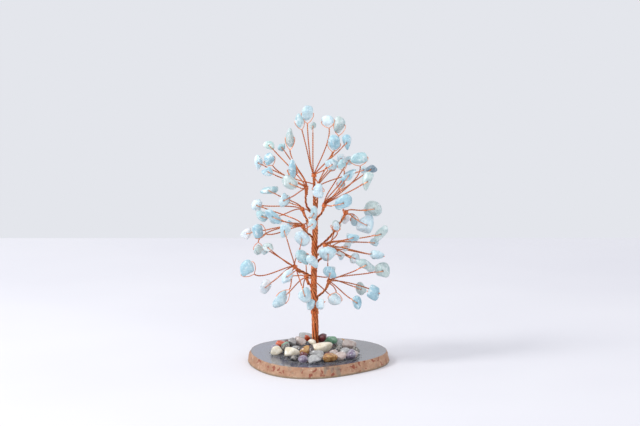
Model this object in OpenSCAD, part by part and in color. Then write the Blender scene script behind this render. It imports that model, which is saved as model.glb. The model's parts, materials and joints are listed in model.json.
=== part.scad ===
// Tree of life twisted from copper wire, with drilled stone chips for leaves, on an agate slice.
// The origin is on the trunk's axis at the slice's underside. +Z is up and the front faces -Y.

/* [Agate slice] */
// Mean radius of the slice at its underside
slice_r = 35.5; // [33:0.5:38]
// Thickness of the slice
slice_h = 5.6; // [5:0.1:6]
// How much smaller the polished top is than the underside, as a ratio
slice_top_ratio = 0.955; // [0.93:0.005:0.98]

/* [Trunk] */
// Height at which the trunk ends and the leader begins
trunk_top = 79; // [78:0.5:80]
// Radius of the trunk at its foot
trunk_r_foot = 2; // [1.9:0.05:2.1]
// Radius of the trunk at its top
trunk_r_top = 1.25; // [1.1:0.05:1.4]
// Number of outer strands in the trunk
strands = 6; // [5:1:6]
// Turns that the strands make from foot to top
strand_turns = 2.5; // [1:0.5:3]

/* [Wire] */
// Radius of the single wire in a loop
wire_r = 0.18; // [0.15:0.01:0.2]
// Radius of a twig, which is a twisted pair of that wire
twig_r = 0.32; // [0.3:0.01:0.32]
// Radius of a bough's stem where it leaves the trunk
stem_r = 0.8; // [0.7:0.02:0.8]
// Radius of the stem's end inside the ring of twigs
stem_end_r = 0.45; // [0.4:0.05:0.5]
// Distance between the feet of neighbouring twigs round the stem's end
foot_spacing = 0.96; // [0.94:0.01:1]
// Radius of the knuckle that a bough bends at
knuckle_r = 0.86; // [0.82:0.01:0.9]
// Gap between a bough's knuckle and the trunk
root_gap = 0.15; // [0.1:0.01:0.2]

/* [Chips] */
// Radius of the hole drilled through a leaf chip
hole_r = 0.35; // [0.3:0.01:0.4]
// Thickness of a leaf chip for each unit of its width
chip_flatness = 0.75; // [0.7:0.01:0.8]

/* [Stone heap] */
// Radius of the glue bed on the slice
glue_r = 27; // [26:0.5:28]
// Height of the glue bed at its middle
glue_h = 8.5; // [8:0.1:9]

/* [Hidden] */
copper = "#BE6A44";
aqua = "#A9D2DE";

// How a chip is drilled, as the principal axis that its hole follows
ACROSS = 0;   // across its width
THROUGH = 1;  // through its thickness
ALONG = 2;    // along its length

// Columns of the table of boughs
NAME = 0;
ROOT_Z = 1;
BEND = 2;
KNOT = 3;
CHIPS = 4;

// One row per bough: its name, the height of its root on the trunk, how many degrees it
// bends each way before it meets a neighbour, the knot where its twigs spread, and its
// chips. A chip is its centre, length, width, lean to the right, and how it is drilled.
BOUGHS = [
    ["crown", 80, 4, [-0.3, 0, 96.8], [
        [[-3.5, 1, 126.6], 8, 6, 0, ACROSS],
        [[-7.5, -5, 123.6], 7.5, 4.6, -15, ACROSS],
        [[-0.8, 4, 119.8], 4.4, 3.4, 20, THROUGH],
        [[6.6, 2, 122.8], 6.5, 5.4, 80, ALONG],
        [[9.8, -3, 112.4], 7.6, 6.6, 10, ACROSS],
        [[16, -1, 112.2], 8.5, 4.6, 0, THROUGH],
        [[8.8, -3, 101.6], 8, 5.4, 80, THROUGH],
        [[1.8, -8, 89], 7.4, 6, 10, ACROSS]]],
    ["upper_left", 78, 7, [-4.2, -2, 90.8], [
        [[-12.2, 1, 114.4], 10, 4.6, 0, ACROSS],
        [[-22.7, 6, 110], 6, 4.4, -70, THROUGH],
        [[-16.3, 3, 109.4], 4.4, 4, 30, THROUGH],
        [[-22.7, -5, 104.4], 6, 5.4, 60, ALONG],
        [[-23, -9, 98.8], 5.6, 5, -60, THROUGH],
        [[-28, 1, 101.8], 8, 4.4, 5, THROUGH],
        [[-11, -6, 99.4], 10.5, 4, 0, ACROSS],
        [[-12.2, -15, 93.9], 9, 6, -60, THROUGH],
        [[-15.2, -7, 84.2], 7.5, 5.4, -10, THROUGH]]],
    ["upper_right", 75, 6, [5.2, -3, 82], [
        [[13.2, -2, 92], 4.6, 4, 10, ACROSS],
        [[17, -7, 96.6], 9.6, 4.2, 40, THROUGH],
        [[13.4, -9, 102.4], 5, 4.6, -20, ACROSS],
        [[17, 1, 102.8], 5.2, 4.6, 60, THROUGH],
        [[22, -4, 104.6], 9, 5.6, 80, ALONG],
        [[28.2, 2, 98.4], 6.4, 4.2, 80, THROUGH],
        [[26.2, -9, 93.9], 9.6, 5.8, 10, THROUGH],
        [[14.4, -11, 83.6], 10, 7.8, 35, THROUGH]]],
    ["right", 59.5, 8, [16.4, 6, 77], [
        [[29.8, 1, 78.8], 9, 7.4, -50, THROUGH],
        [[26.2, 4, 70.2], 10.8, 9, 40, THROUGH],
        [[20, 8, 71.4], 6, 4, 0, ACROSS],
        [[15.4, 13, 71.6], 5.4, 5, 0, THROUGH],
        [[27, 13, 76], 6.5, 5, 30, THROUGH]]],
    ["mid_left", 65.5, 7, [-6.3, -2.5, 71.4], [
        [[-28.8, 1, 80.4], 6.6, 5.4, 60, THROUGH],
        [[-26.2, -6, 76], 7, 5, -60, THROUGH],
        [[-20.4, -13, 76.7], 10.5, 4.6, -50, THROUGH],
        [[-28.4, -3, 67.8], 7.5, 6.4, 20, ALONG],
        [[-34, 4, 65.6], 6, 5, 40, THROUGH],
        [[-28.2, 1, 57.6], 5.6, 4.8, 0, ACROSS],
        [[-12.2, -7, 72.2], 3.4, 3.2, 0, THROUGH],
        [[-0.3, -7, 77.4], 8, 3.6, 5, THROUGH],
        [[-0.9, -10, 72.6], 6, 4.2, 0, THROUGH]]],
    ["mid_right", 56, 5, [5.8, -3, 61.8], [
        [[10.8, -5, 70.8], 4.6, 3.6, -10, ACROSS],
        [[19.2, -9, 65.8], 5.6, 5, -40, THROUGH],
        [[33, -5, 66.8], 10.4, 5.2, 30, THROUGH],
        [[30.2, 7, 60.4], 4.6, 4.2, -40, THROUGH],
        [[31.2, -8, 56.6], 7.4, 4.6, -80, ALONG],
        [[20.4, -1, 53.8], 5, 4.6, 0, THROUGH]]],
    ["low_left", 45, 4, [-10.8, -3, 50.6], [
        [[-34, -4, 49.2], 9, 7.6, 40, ALONG],
        [[-23.2, -8, 60.6], 5.8, 4.2, 80, THROUGH],
        [[-24.8, 3, 38.4], 8, 5.8, 5, THROUGH],
        [[-13.8, -9, 46], 8.4, 5, 40, THROUGH],
        [[-16.8, -6, 33.4], 11, 6, 40, ACROSS],
        [[-4.8, -13, 37.2], 7.6, 7, -20, THROUGH],
        [[-6.2, -6, 64.8], 8.4, 7.4, -30, THROUGH],
        [[-14.8, -16, 70.2], 7, 5.8, 20, THROUGH]]],
    ["low_right", 35, 6, [7.8, -2.5, 43.6], [
        [[7.8, -12, 48.6], 8, 5, -60, THROUGH],
        [[6.8, -9, 57.6], 9.6, 7.2, 70, THROUGH],
        [[25.6, -9.4, 52], 11, 4.4, -65, THROUGH],
        [[34.2, -5, 48.4], 8.4, 7.8, -30, THROUGH],
        [[29.4, -9, 37.8], 8.6, 6.4, 10, ACROSS],
        [[23.4, 6, 36.8], 7, 5.4, -15, THROUGH],
        [[10.2, -4, 33], 7, 5.4, -80, ALONG],
        [[21.2, -10, 33], 7, 5, 0, THROUGH]]],
    ["front_mid", 47, 8, [-0.4, -5.5, 51.4], [
        [[-5.8, -11, 56], 8.6, 6, -40, ACROSS],
        [[-0.8, -15.5, 54.8], 8, 4.8, -45, ACROSS]]],
    ["front_low", 29, 6, [0.2, -4.6, 32.8], [
        [[-2.2, -10, 32], 6, 5, 30, ACROSS],
        [[3, -11.5, 32.2], 5.6, 5.2, -30, ACROSS]]],
    ["back_top", 76, 6, [1.6, 7, 90], [
        [[12.6, 9.4, 119.8], 8.6, 5.8, 5, ACROSS],
        [[13.4, 9, 102.8], 5.4, 4.6, -30, THROUGH],
        [[24.8, 10, 97], 4.2, 4, 0, THROUGH],
        [[8.6, 17, 98.2], 6, 5.4, 40, ACROSS],
        [[1.8, 16, 84.8], 6.4, 5, -20, ACROSS],
        [[-11, 14, 95.8], 7, 5.4, 10, ACROSS]]],
    ["back_left", 70, 8, [-6.5, 6.5, 78.6], [
        [[-22.8, 5, 87.2], 9.6, 4, 80, THROUGH],
        [[-15.2, 15, 80.4], 7, 5.4, 30, THROUGH],
        [[-28.6, 10, 78.8], 6, 5, -20, THROUGH],
        [[-20.8, 14, 71.8], 6.4, 5.4, -50, THROUGH],
        [[-0.6, 19, 70.6], 7, 5, 10, ACROSS],
        [[-6.2, 20, 60.2], 6.4, 5.4, 40, ACROSS]]],
    ["back_right", 52, 7, [8.4, 6.6, 58], [
        [[13.2, 3.5, 54.3], 5, 4.4, 0, THROUGH],
        [[27.8, 4, 47.8], 5.4, 4, -50, THROUGH],
        [[31.2, 12, 53], 5.4, 4.6, 20, THROUGH],
        [[19.2, 17, 61.2], 7, 5.4, -30, THROUGH],
        [[10.8, 20, 66.2], 6.4, 5, 20, ACROSS],
        [[6.8, 19, 52.6], 6.6, 5.2, -20, ACROSS],
        [[20.4, 16, 50.6], 6, 5, 50, THROUGH],
        [[16.4, 7, 58.5], 6, 4.4, 10, THROUGH]]],
    ["back_low", 38, 8, [-4.6, 7.6, 43.6], [
        [[-25, 12, 56.4], 6.6, 5, 30, THROUGH],
        [[-5.8, 20, 50.4], 7, 5.2, -30, ACROSS],
        [[-13.6, 13, 42.1], 6.4, 5.4, 10, THROUGH],
        [[-16.8, 13, 30], 6.4, 5, 50, THROUGH],
        [[-4.8, 18, 31.6], 7, 5.4, -20, ACROSS],
        [[7.8, 15, 43.8], 6.4, 5, 20, ACROSS],
        [[10.2, 14, 29.8], 6, 5, -40, THROUGH]]]
];

// One row per kind of heap stone: its name, its colour, and its stones. A stone is the
// place of its centre, its length, width and height, and the turn of its length about Z.
HEAP = [
    ["jasper", "#9A4A32", [
        [[-17, 2.9, 8.1], 5.4, 4, 3.6, 30],
        [[-3.8, 1.7, 11.9], 3.2, 2.6, 2.6, 50],
        [[9.6, 15.2, 7.5], 4.2, 3.4, 2.8, 0]]],
    ["cream", "#D9CDAA", [
        [[-19.1, -9.2, 7.7], 5.2, 4, 3.8, 20],
        [[-11.1, -16.2, 8.2], 7, 4.8, 4.2, 10],
        [[3.8, -12.2, 10], 8.4, 4.6, 4, 6],
        [[-1.2, -7.3, 11.8], 3.6, 2.6, 2.4, -10],
        [[2, 9.8, 9.5], 5.4, 4.2, 3.6, 20],
        [[18.4, 5.8, 7.7], 4.8, 4, 3.4, -20]]],
    ["quartz", "#C9C8C8", [
        [[0, -27.2, 7.5], 5.2, 4.4, 3.6, 30],
        [[1.2, -18.2, 8.2], 6, 3.6, 3, -10],
        [[12.8, 4.4, 8.8], 4.6, 4, 3.6, 0],
        [[-10.8, 1.4, 9.7], 4.4, 4, 3.6, 60],
        [[-4.6, 5.9, 10.8], 6.4, 4.8, 4.4, -20],
        [[-9.8, -10.2, 9.1], 4.2, 3.4, 3, 20],
        [[2.6, -22.6, 7.4], 4.2, 3.4, 2.8, 50],
        [[15.6, -13.6, 7.8], 4.6, 3.8, 3.6, -30],
        [[4, 15.6, 7.8], 4.6, 3.8, 3, 60]]],
    ["amethyst", "#8E6FA0", [
        [[-5.4, -25.6, 7.2], 4.6, 3.6, 3, 20],
        [[18.2, -18.5, 7.7], 5, 4.2, 4, 60],
        [[8.2, 9.8, 8.8], 4.8, 4, 3.4, -40],
        [[-20, -1.4, 7.5], 3.8, 3.2, 2.8, 10]]],
    ["speckled", "#55534F", [
        [[-14.3, -7.8, 8.7], 4.4, 3.8, 4, -30],
        [[11.6, -11.2, 8.7], 4.6, 4, 3.6, 40],
        [[20.8, -6.9, 7.4], 3.2, 2.8, 3, 0],
        [[-9.3, 5.3, 9.3], 3.4, 3, 2.8, 0],
        [[-10.4, -22.8, 7.1], 3.8, 3, 2.6, -20],
        [[-14.4, 10.4, 7.7], 4.4, 3.6, 3, -30]]],
    ["garnet", "#6E2A33", [
        [[-5.4, -20.2, 7.7], 3.8, 3.2, 3, 20],
        [[3.8, 2.7, 11.9], 4.4, 3.6, 3.4, 40],
        [[-13.2, 6.3, 8.3], 4.2, 3.4, 3, 0],
        [[6.4, -19, 7.7], 3.4, 2.8, 2.6, 0]]],
    ["tiger_eye", "#8A5A2E", [
        [[-4.8, -14.8, 9], 5.4, 4, 3.6, -20],
        [[7.6, -24.2, 7.6], 6.2, 4.4, 3.8, 10],
        [[13.8, 11, 7.7], 4.8, 3.8, 3, 30]]],
    ["aventurine", "#7FA68B", [
        [[8.2, 1.3, 10.7], 5.4, 4.2, 3.8, 15],
        [[-2.6, 13.2, 8.5], 5, 4, 3.4, 0],
        [[-14.6, -1.4, 8.6], 4, 3.4, 3.2, -50]]],
    ["rose", "#C99A9A", [
        [[9.4, -16.2, 8.1], 4.2, 3.6, 3.2, -20],
        [[13, -20.9, 7.5], 5.4, 4.2, 3.6, 20],
        [[17, 0.6, 8.5], 6.4, 4.8, 4.6, 30],
        [[-7, -3, 11.4], 4.6, 4, 3.6, 30],
        [[20, -13.6, 7.2], 3.8, 3.2, 3, 70],
        [[-8.6, 11.4, 8.4], 5, 4.2, 3.4, 40]]]
];

// Vector helpers

function unit(v) = v / norm(v);
function flat(v) = [v.x, v.y, 0];
function sum(list, i = 0) = i == len(list) ? 0 : list[i] + sum(list, i + 1);
function without(v, axis) = v - (v * axis) * axis;
function bezier(p, t) =
    pow(1 - t, 3) * p[0] + 3 * t * pow(1 - t, 2) * p[1]
    + 3 * t * t * (1 - t) * p[2] + pow(t, 3) * p[3];

// Repeatable unevenness from -1 to 1 for a stone's surface
function uneven(seed, i) = sin(seed * 97 + i * 151) * cos(seed * 61 + i * 67);

// Direction of a path at each of its points
function headings(path) = [for (i = [0:len(path) - 1])
    unit(path[min(i + 1, len(path) - 1)] - path[max(i - 1, 0)])];

// Side vector at each point, carried along the path so that the tube doesn't twist
function carried(dirs, side, i = 0) = i == len(dirs) ? [] :
    let (s = unit(without(side, dirs[i]))) concat([s], carried(dirs, s, i + 1));

// Solid wire along a path, with one radius for each point
module wire(path, radii, sides) {
    dirs = headings(path);
    guess = abs(dirs[0].z) < 0.8 ? [0, 0, 1] : [1, 0, 0];
    across = carried(dirs, guess);
    n = len(path);
    points = [for (i = [0:n - 1]) for (k = [0:sides - 1])
        let (turn = 360 * k / sides)
        path[i] + radii[i] * (cos(turn) * across[i] + sin(turn) * cross(dirs[i], across[i]))];
    walls = [for (i = [0:n - 2]) for (k = [0:sides - 1])
        let (a = i * sides + k, b = i * sides + (k + 1) % sides)
        each [[a, a + sides, b], [b, a + sides, b + sides]]];
    first = [for (k = [0:sides - 1]) k];
    last = [for (k = [sides - 1:-1:0]) (n - 1) * sides + k];
    polyhedron(points, concat([first], walls, [last]), convexity = 6);
}

// Agate slice

slice_centre = [1.5, -1.5];

function slice_edge(angle) = slice_r
    + 1.9 * cos(angle - 104) + 1.2 * cos(2 * angle - 90)
    + 1.6 * cos(3 * angle - 51) + 0.4 * cos(4 * angle + 73);

module agate_slice() {
    color("#A8A8B4")
    translate(slice_centre)
    linear_extrude(slice_h, scale = slice_top_ratio)
    polygon([for (angle = [0:7.5:359]) slice_edge(angle) * [cos(angle), sin(angle)]]);
}

// Glue bed: a low hollow-sided cone with a thin edge, set a little towards the front

glue_shift = -2;
glue_edge_h = 0.5;
// How hollow the bed's side is; 1 would be a straight cone
glue_hollow = 2.2;

module glue_bed() {
    rings = 8;
    color("#E8E4DC")
    translate([0, glue_shift, slice_h])
    rotate_extrude($fn = 72)
    polygon(concat(
        [[0, 0], [glue_r, 0]],
        [for (i = [rings:-1:0])
            let (rise = pow(1 - i / rings, glue_hollow))
            [glue_r * i / rings, glue_edge_h + (glue_h - glue_edge_h) * rise]]));
}

// Trunk

foot_z = slice_h + 0.2;

function trunk_r(z) =
    trunk_r_foot + (trunk_r_top - trunk_r_foot) * (z - foot_z) / (trunk_top - foot_z);

// Share of its room that an outer strand fills, so that neighbours stay apart between bends
strand_fill = 0.88;

// Radius of one strand's room, so that the strands lie close round a core of the same size
function strand_r(z) = trunk_r(z) / 3 - 0.02;

module trunk_core() {
    heights = [for (i = [0:4]) foot_z + (trunk_top - foot_z) * i / 4];
    color(copper)
    wire([for (z = heights) [0, 0, z]], [for (z = heights) strand_r(z)], 6);
}

module trunk_strands() {
    steps = 8 * strand_turns;
    color(copper)
    for (s = [0:strands - 1])
        let (
            heights = [for (i = [0:steps]) foot_z + (trunk_top - foot_z) * i / steps],
            path = [for (i = [0:steps])
                let (turn = 360 * s / strands - 45 * i, out = trunk_r(heights[i]) * 2 / 3)
                [out * cos(turn), out * sin(turn), heights[i]]])
        wire(path, [for (z = heights) strand_r(z) * strand_fill], 6);
}

// Binding: rings of wire round the trunk below the lowest bough

module trunk_binding() {
    ring_z = 26;
    rings = 3;
    color(copper)
    for (i = [0:rings - 1])
        translate([0, 0, ring_z - 2.4 * wire_r * i])
        rotate_extrude($fn = 32)
        translate([trunk_r(ring_z) + wire_r + 0.08, 0])
        circle(wire_r, $fn = 16);
}

// Root wires: the wire ends splayed out on the slice inside the glue

module root_wires() {
    reach = 13;
    lift = 1.1;
    color(copper)
    for (s = [0:strands - 1])
        let (
            turn = 360 * (s + 0.5) / strands,
            out = [cos(turn), sin(turn), 0],
            path = [for (t = [0:0.25:1])
                (trunk_r_foot + 0.6 + reach * t) * out
                + [0, 0, slice_h + 0.5 + lift * pow(1 - t, 3)]])
        wire(path, [for (t = [0:0.25:1]) 0.45 - 0.1 * t], 5);
}

// Stones

// A tumbled stone: rings of points between two poles, each pushed in or out a little
module pebble(length, width, height, seed) {
    rings = 4;
    sides = 7;
    half = [length, width, height] / 2;
    function bump(i) = 1 + 0.09 * uneven(seed, i);
    function spread(dir, i) = [for (k = [0:2]) half[k] * dir[k] * bump(i)];
    points = concat(
        [[0, 0, -half.z]],
        [for (i = [1:rings - 1]) for (k = [0:sides - 1])
            let (up = 180 * i / rings - 90, turn = 360 * (k + i / 2) / sides)
            spread([cos(up) * cos(turn), cos(up) * sin(turn), sin(up)], i * sides + k)],
        [[0, 0, half.z]]);
    top = len(points) - 1;
    low = [for (k = [0:sides - 1]) [0, 1 + k, 1 + (k + 1) % sides]];
    walls = [for (i = [0:rings - 3]) for (k = [0:sides - 1])
        let (a = 1 + i * sides + k, b = 1 + i * sides + (k + 1) % sides)
        each [[a, a + sides, b], [b, a + sides, b + sides]]];
    high = [for (k = [0:sides - 1])
        let (a = 1 + (rings - 2) * sides) [a + (k + 1) % sides, a + k, top]];
    polyhedron(points, concat(low, walls, high), convexity = 2);
}

module heap_stones(kind) {
    color(kind[1])
    for (i = [0:len(kind[2]) - 1])
        let (stone = kind[2][i])
        translate(stone[0])
        rotate([0, 0, stone[4]])
        pebble(stone[1], stone[2], stone[3], i + 7 * len(kind[0]));
}

// Leaf chips

// Principal axes of a chip: along its length, across its width, through its thickness
function chip_axes(chip) = let (lean = chip[3]) [
    [sin(lean), 0, cos(lean)],
    [cos(lean), 0, -sin(lean)],
    [0, 1, 0]];
function chip_half(chip) = [chip[1], chip[2], chip[2] * chip_flatness] / 2;

// Right-handed order of those axes that puts the drilled one last
function drilled_order(chip) =
    chip[4] == ACROSS ? [2, 0, 1] : chip[4] == THROUGH ? [0, 1, 2] : [1, 2, 0];

// A drilled chip: rings of points run over its outside from one mouth of the hole to the
// other and back through the hole, for each direction round the hole
module leaf_chip(chip, seed) {
    sides = 7;
    slopes = [-38, 0, 38];
    order = drilled_order(chip);
    axes = chip_axes(chip);
    half = chip_half(chip);
    a = axes[order[0]];
    b = axes[order[1]];
    h = axes[order[2]];
    ra = half[order[0]];
    rb = half[order[1]];
    rh = half[order[2]];
    mouth = rh * 0.9;
    function outer(slope, turn, i) =
        let (bump = 1 + 0.08 * uneven(seed, i))
        bump * (ra * cos(slope) * cos(turn) * a + rb * cos(slope) * sin(turn) * b
            + rh * sin(slope) * h);
    function bore(end, turn) =
        hole_r * (cos(turn) * a + sin(turn) * b) + end * mouth * h;
    points = [for (k = [0:sides - 1])
        let (turn = 360 * k / sides)
        each concat(
            [bore(-1, turn)],
            [for (j = [0:2]) outer(slopes[j], turn, 3 * k + j)],
            [bore(1, turn)])];
    n = len(slopes) + 2;
    skin = [for (k = [0:sides - 1]) for (j = [0:n - 1])
        let (
            p = k * n + j, q = ((k + 1) % sides) * n + j,
            r = k * n + (j + 1) % n, s = ((k + 1) % sides) * n + (j + 1) % n)
        each [[p, r, q], [q, r, s]]];
    translate(chip[0])
    polyhedron(points, skin, convexity = 4);
}

// Boughs

// Horizontal direction in which a bough leaves the trunk
function bough_way(b) = norm(flat(b[KNOT])) > 1 ? unit(flat(b[KNOT])) : [1, 0, 0];

// Point that a bough bends about, just outside the trunk or on top of it
function bough_root(b) = b[ROOT_Z] > trunk_top
    ? [0, 0, b[ROOT_Z] + knuckle_r]
    : (trunk_r(b[ROOT_Z]) + root_gap + knuckle_r) * bough_way(b) + [0, 0, b[ROOT_Z]];

// Direction in which the stem reaches its knot, and two directions across it
function stem_way(b) = unit(unit(b[KNOT] - bough_root(b)) + [0, 0, 0.5]);
function knot_u(b) = unit(cross([0, 1, 0.2], stem_way(b)));
function knot_v(b) = cross(stem_way(b), knot_u(b));

// Angle round the stem at which a point lies
function around(b, p) = atan2((p - b[KNOT]) * knot_v(b), (p - b[KNOT]) * knot_u(b));

// Place of each twig's foot in the ring of feet round the stem's end. The feet are evenly
// spaced and in the same order round the stem as the chips, so that the twigs don't cross.
function twig_foot(b, i) =
    let (
        turns = [for (chip = b[CHIPS]) around(b, chip[0])],
        n = len(turns),
        rank = len([for (t = turns) if (t < turns[i]) t]),
        first = [for (j = [0:n - 1]) turns[j] - 360 * len([for (t = turns) if (t < turns[j]) t]) / n],
        turn = 360 * rank / n + sum(first) / n,
        out = max(foot_spacing / (2 * sin(180 / n)), stem_end_r + twig_r + 0.2),
        turned = 1 - unit(b[CHIPS][i][0] - b[KNOT]) * stem_way(b))
    b[KNOT] - (1 + turned) * stem_way(b) + out * (cos(turn) * knot_u(b) + sin(turn) * knot_v(b));

module stem(b) {
    root = bough_root(b);
    knot = b[KNOT];
    reach = norm(knot - root);
    way = stem_way(b);
    out = b[ROOT_Z] > trunk_top ? [0, 0, 1] : unit(bough_way(b) + [0, 0, 0.6]);
    curve = [root, root + 0.35 * reach * out, knot - 0.35 * reach * way, knot];
    path = [for (t = [0:0.2:1]) bezier(curve, t)];
    radii = [for (i = [0:5]) stem_r + (stem_end_r - stem_r) * pow(i / 5, 2)];
    color(copper) {
        wire(path, radii, 8);
        translate(root)
        rotate([0, 0, atan2(bough_way(b).y, bough_way(b).x)])
        rotate([90, 0, 0])
        cylinder(h = 2.1 * knuckle_r, r = knuckle_r, center = true, $fn = 24);
    }
}

// A twig: its stalk from the knot, then the loop of single wire through the chip and back
module twig(b, chip, i) {
    axes = chip_axes(chip);
    half = chip_half(chip);
    order = drilled_order(chip);
    h = axes[order[2]];
    rh = half[order[2]] + 0.45;
    start = twig_foot(b, i);
    way = unit(without(chip[0] - start, h));
    near = norm([way * axes[order[0]] * half[order[0]], way * axes[order[1]] * half[order[1]]]);
    d = near + 1.1;
    fork = chip[0] - d * way;
    reach = norm(fork - start);
    curve = [start,
        start + min(0.3 * reach, 3) * stem_way(b),
        fork - 0.3 * reach * way,
        fork];
    loop = [for (p = [[-0.8, 0.66], [-0.3, 1], [0, 1], [0, -1], [-0.3, -1], [-0.8, -0.66], [-0.98, -0.12]])
        chip[0] + p[0] * d * way + p[1] * rh * h];
    path = concat([for (t = [0:0.333:1]) bezier(curve, t)], loop);
    radii = [for (k = [0:len(path) - 1]) k < 3 ? twig_r : wire_r];
    wire(path, radii, 5);
}

module twigs(b) {
    color(copper)
    for (i = [0:len(b[CHIPS]) - 1])
        twig(b, b[CHIPS][i], i);
}

module chips(b) {
    color(aqua)
    for (i = [0:len(b[CHIPS]) - 1])
        leaf_chip(b[CHIPS][i], i + b[ROOT_Z]);
}

agate_slice();
glue_bed();
root_wires();
trunk_core();
trunk_strands();
trunk_binding();
for (kind = HEAP)
    heap_stones(kind);
for (b = BOUGHS) {
    stem(b);
    twigs(b);
    chips(b);
}
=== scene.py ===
"""Tree of life of twisted copper wire, with aquamarine chips for leaves, on an agate slice."""
import json
import math
from collections import namedtuple

import bmesh
import bpy
import numpy as np
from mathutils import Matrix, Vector, noise


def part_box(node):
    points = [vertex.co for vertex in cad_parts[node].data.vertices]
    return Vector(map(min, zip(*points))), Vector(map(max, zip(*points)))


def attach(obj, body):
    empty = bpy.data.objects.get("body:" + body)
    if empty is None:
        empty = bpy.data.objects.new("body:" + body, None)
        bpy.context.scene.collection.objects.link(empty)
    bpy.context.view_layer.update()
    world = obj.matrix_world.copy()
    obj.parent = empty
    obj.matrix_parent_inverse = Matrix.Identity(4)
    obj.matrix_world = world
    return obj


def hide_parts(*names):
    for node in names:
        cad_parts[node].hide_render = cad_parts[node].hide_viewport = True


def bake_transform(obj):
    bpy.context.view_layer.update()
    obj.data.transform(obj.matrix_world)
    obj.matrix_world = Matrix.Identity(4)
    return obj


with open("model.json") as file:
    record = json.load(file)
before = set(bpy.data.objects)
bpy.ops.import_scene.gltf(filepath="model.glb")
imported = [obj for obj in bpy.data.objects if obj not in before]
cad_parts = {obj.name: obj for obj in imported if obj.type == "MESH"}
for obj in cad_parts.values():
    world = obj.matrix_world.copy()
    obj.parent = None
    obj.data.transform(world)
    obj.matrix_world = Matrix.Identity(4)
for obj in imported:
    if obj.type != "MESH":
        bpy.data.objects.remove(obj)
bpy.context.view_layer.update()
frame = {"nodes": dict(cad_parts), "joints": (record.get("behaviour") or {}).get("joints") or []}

MM = 0.001
SIDEWAYS = np.array([1.0, 0.0, 0.0])
SLANTWISE = np.array([0.31, 0.52, 0.79])
UP = np.array([0.0, 0.0, 1.0])

# The single wire that twigs are twisted from, and the length of one turn of its twist
WIRE_R = 0.18
WIRE_SIDES = 6
TWIST_PITCH = 1.8
TWIST_STEPS = 10

# A chip's hole, and how far a twig's loop stands off the hole's ends in the frame and here
HOLE_R = 0.35
FRAME_LOOP_GAP = 0.45
LOOP_GAP = 0.12

# A twig in the frame has a ring of points at each of its bends: four from the stem to the fork
# of its loop, then the loop's corners, and the ends of the loop's side through the chip's hole
FORK_RING, CORNER_RING, HOLE_RING, HOLE_END_RING = 3, 5, 6, 7

# Corners round a twig or root wire, and round a stem, in the frame
TWIG_SIDES = 5
STEM_SIDES = 8

# Leaf tones: aqua, blue, teal, grey, mint, pale, white and dark, and then the tones of each
# bough's leaves from its highest leaf to its lowest
TONES = {
    "a": (204, 225, 231), "b": (177, 210, 221), "t": (184, 213, 217), "g": (200, 214, 211),
    "m": (208, 231, 225), "p": (224, 241, 248), "w": (240, 241, 243), "d": (146, 164, 176)}
LEAF_TONES = {
    "crown": "atpgbbap", "upper_left": "gmtbpbbga", "upper_right": "tatdbgbb", "right": "gawap",
    "mid_left": "pabtabbwg", "mid_right": "pgbaap", "low_left": "apgbpwaa", "low_right": "agbgbgpb",
    "front_mid": "ta", "front_low": "pa", "back_top": "gpapga", "back_left": "ttbapg",
    "back_right": "gappapgp", "back_low": "tbapgat"}


# ---------------------------------------------------------------- vectors and paths

def unit(v):
    return np.asarray(v, float) / np.linalg.norm(v)


def sides_of(path, side):
    """Two directions across a path at each of its points that don't twist along it."""
    heading = np.gradient(path, axis=0)
    heading /= np.linalg.norm(heading, axis=1, keepdims=True)
    across = np.empty_like(path)
    for i, way in enumerate(heading):
        side = side - side.dot(way) * way
        side = side / math.sqrt(side.dot(side))
        across[i] = side
    return across, np.cross(heading, across)


def lengths(path):
    """Distance along a path to each of its points."""
    return np.concatenate([[0], np.cumsum(np.linalg.norm(np.diff(path, axis=0), axis=1))])


def resample(path, step):
    """The same path with evenly spaced points, about step apart."""
    along = lengths(path)
    count = max(4, int(math.ceil(along[-1] / step)) + 1)
    places = np.linspace(0, along[-1], count)
    return np.stack([np.interp(places, along, path[:, k]) for k in range(3)], axis=1)


def bezier(corners, count):
    t = np.linspace(0, 1, count)[:, None]
    a, b, c, d = (np.asarray(p, float) for p in corners)
    return (1 - t) ** 3 * a + 3 * t * (1 - t) ** 2 * b + 3 * t * t * (1 - t) * c + t ** 3 * d


def rounded(path, radius, steps=5):
    """A path of straight runs with each corner rounded over no more than half of a run."""
    most = 0.45
    out = [path[0]]
    for before, corner, after in zip(path, path[1:], path[2:]):
        back, on = before - corner, after - corner
        start = corner + back * min(radius / np.linalg.norm(back), most)
        end = corner + on * min(radius / np.linalg.norm(on), most)
        for t in np.linspace(0, 1, steps):
            out.append((1 - t) ** 2 * start + 2 * t * (1 - t) * corner + t * t * end)
    out.append(path[-1])
    return np.array(out)


def smoothstep(x):
    x = np.clip(x, 0, 1)
    return x * x * (3 - 2 * x)


# ---------------------------------------------------------------- meshes

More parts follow.
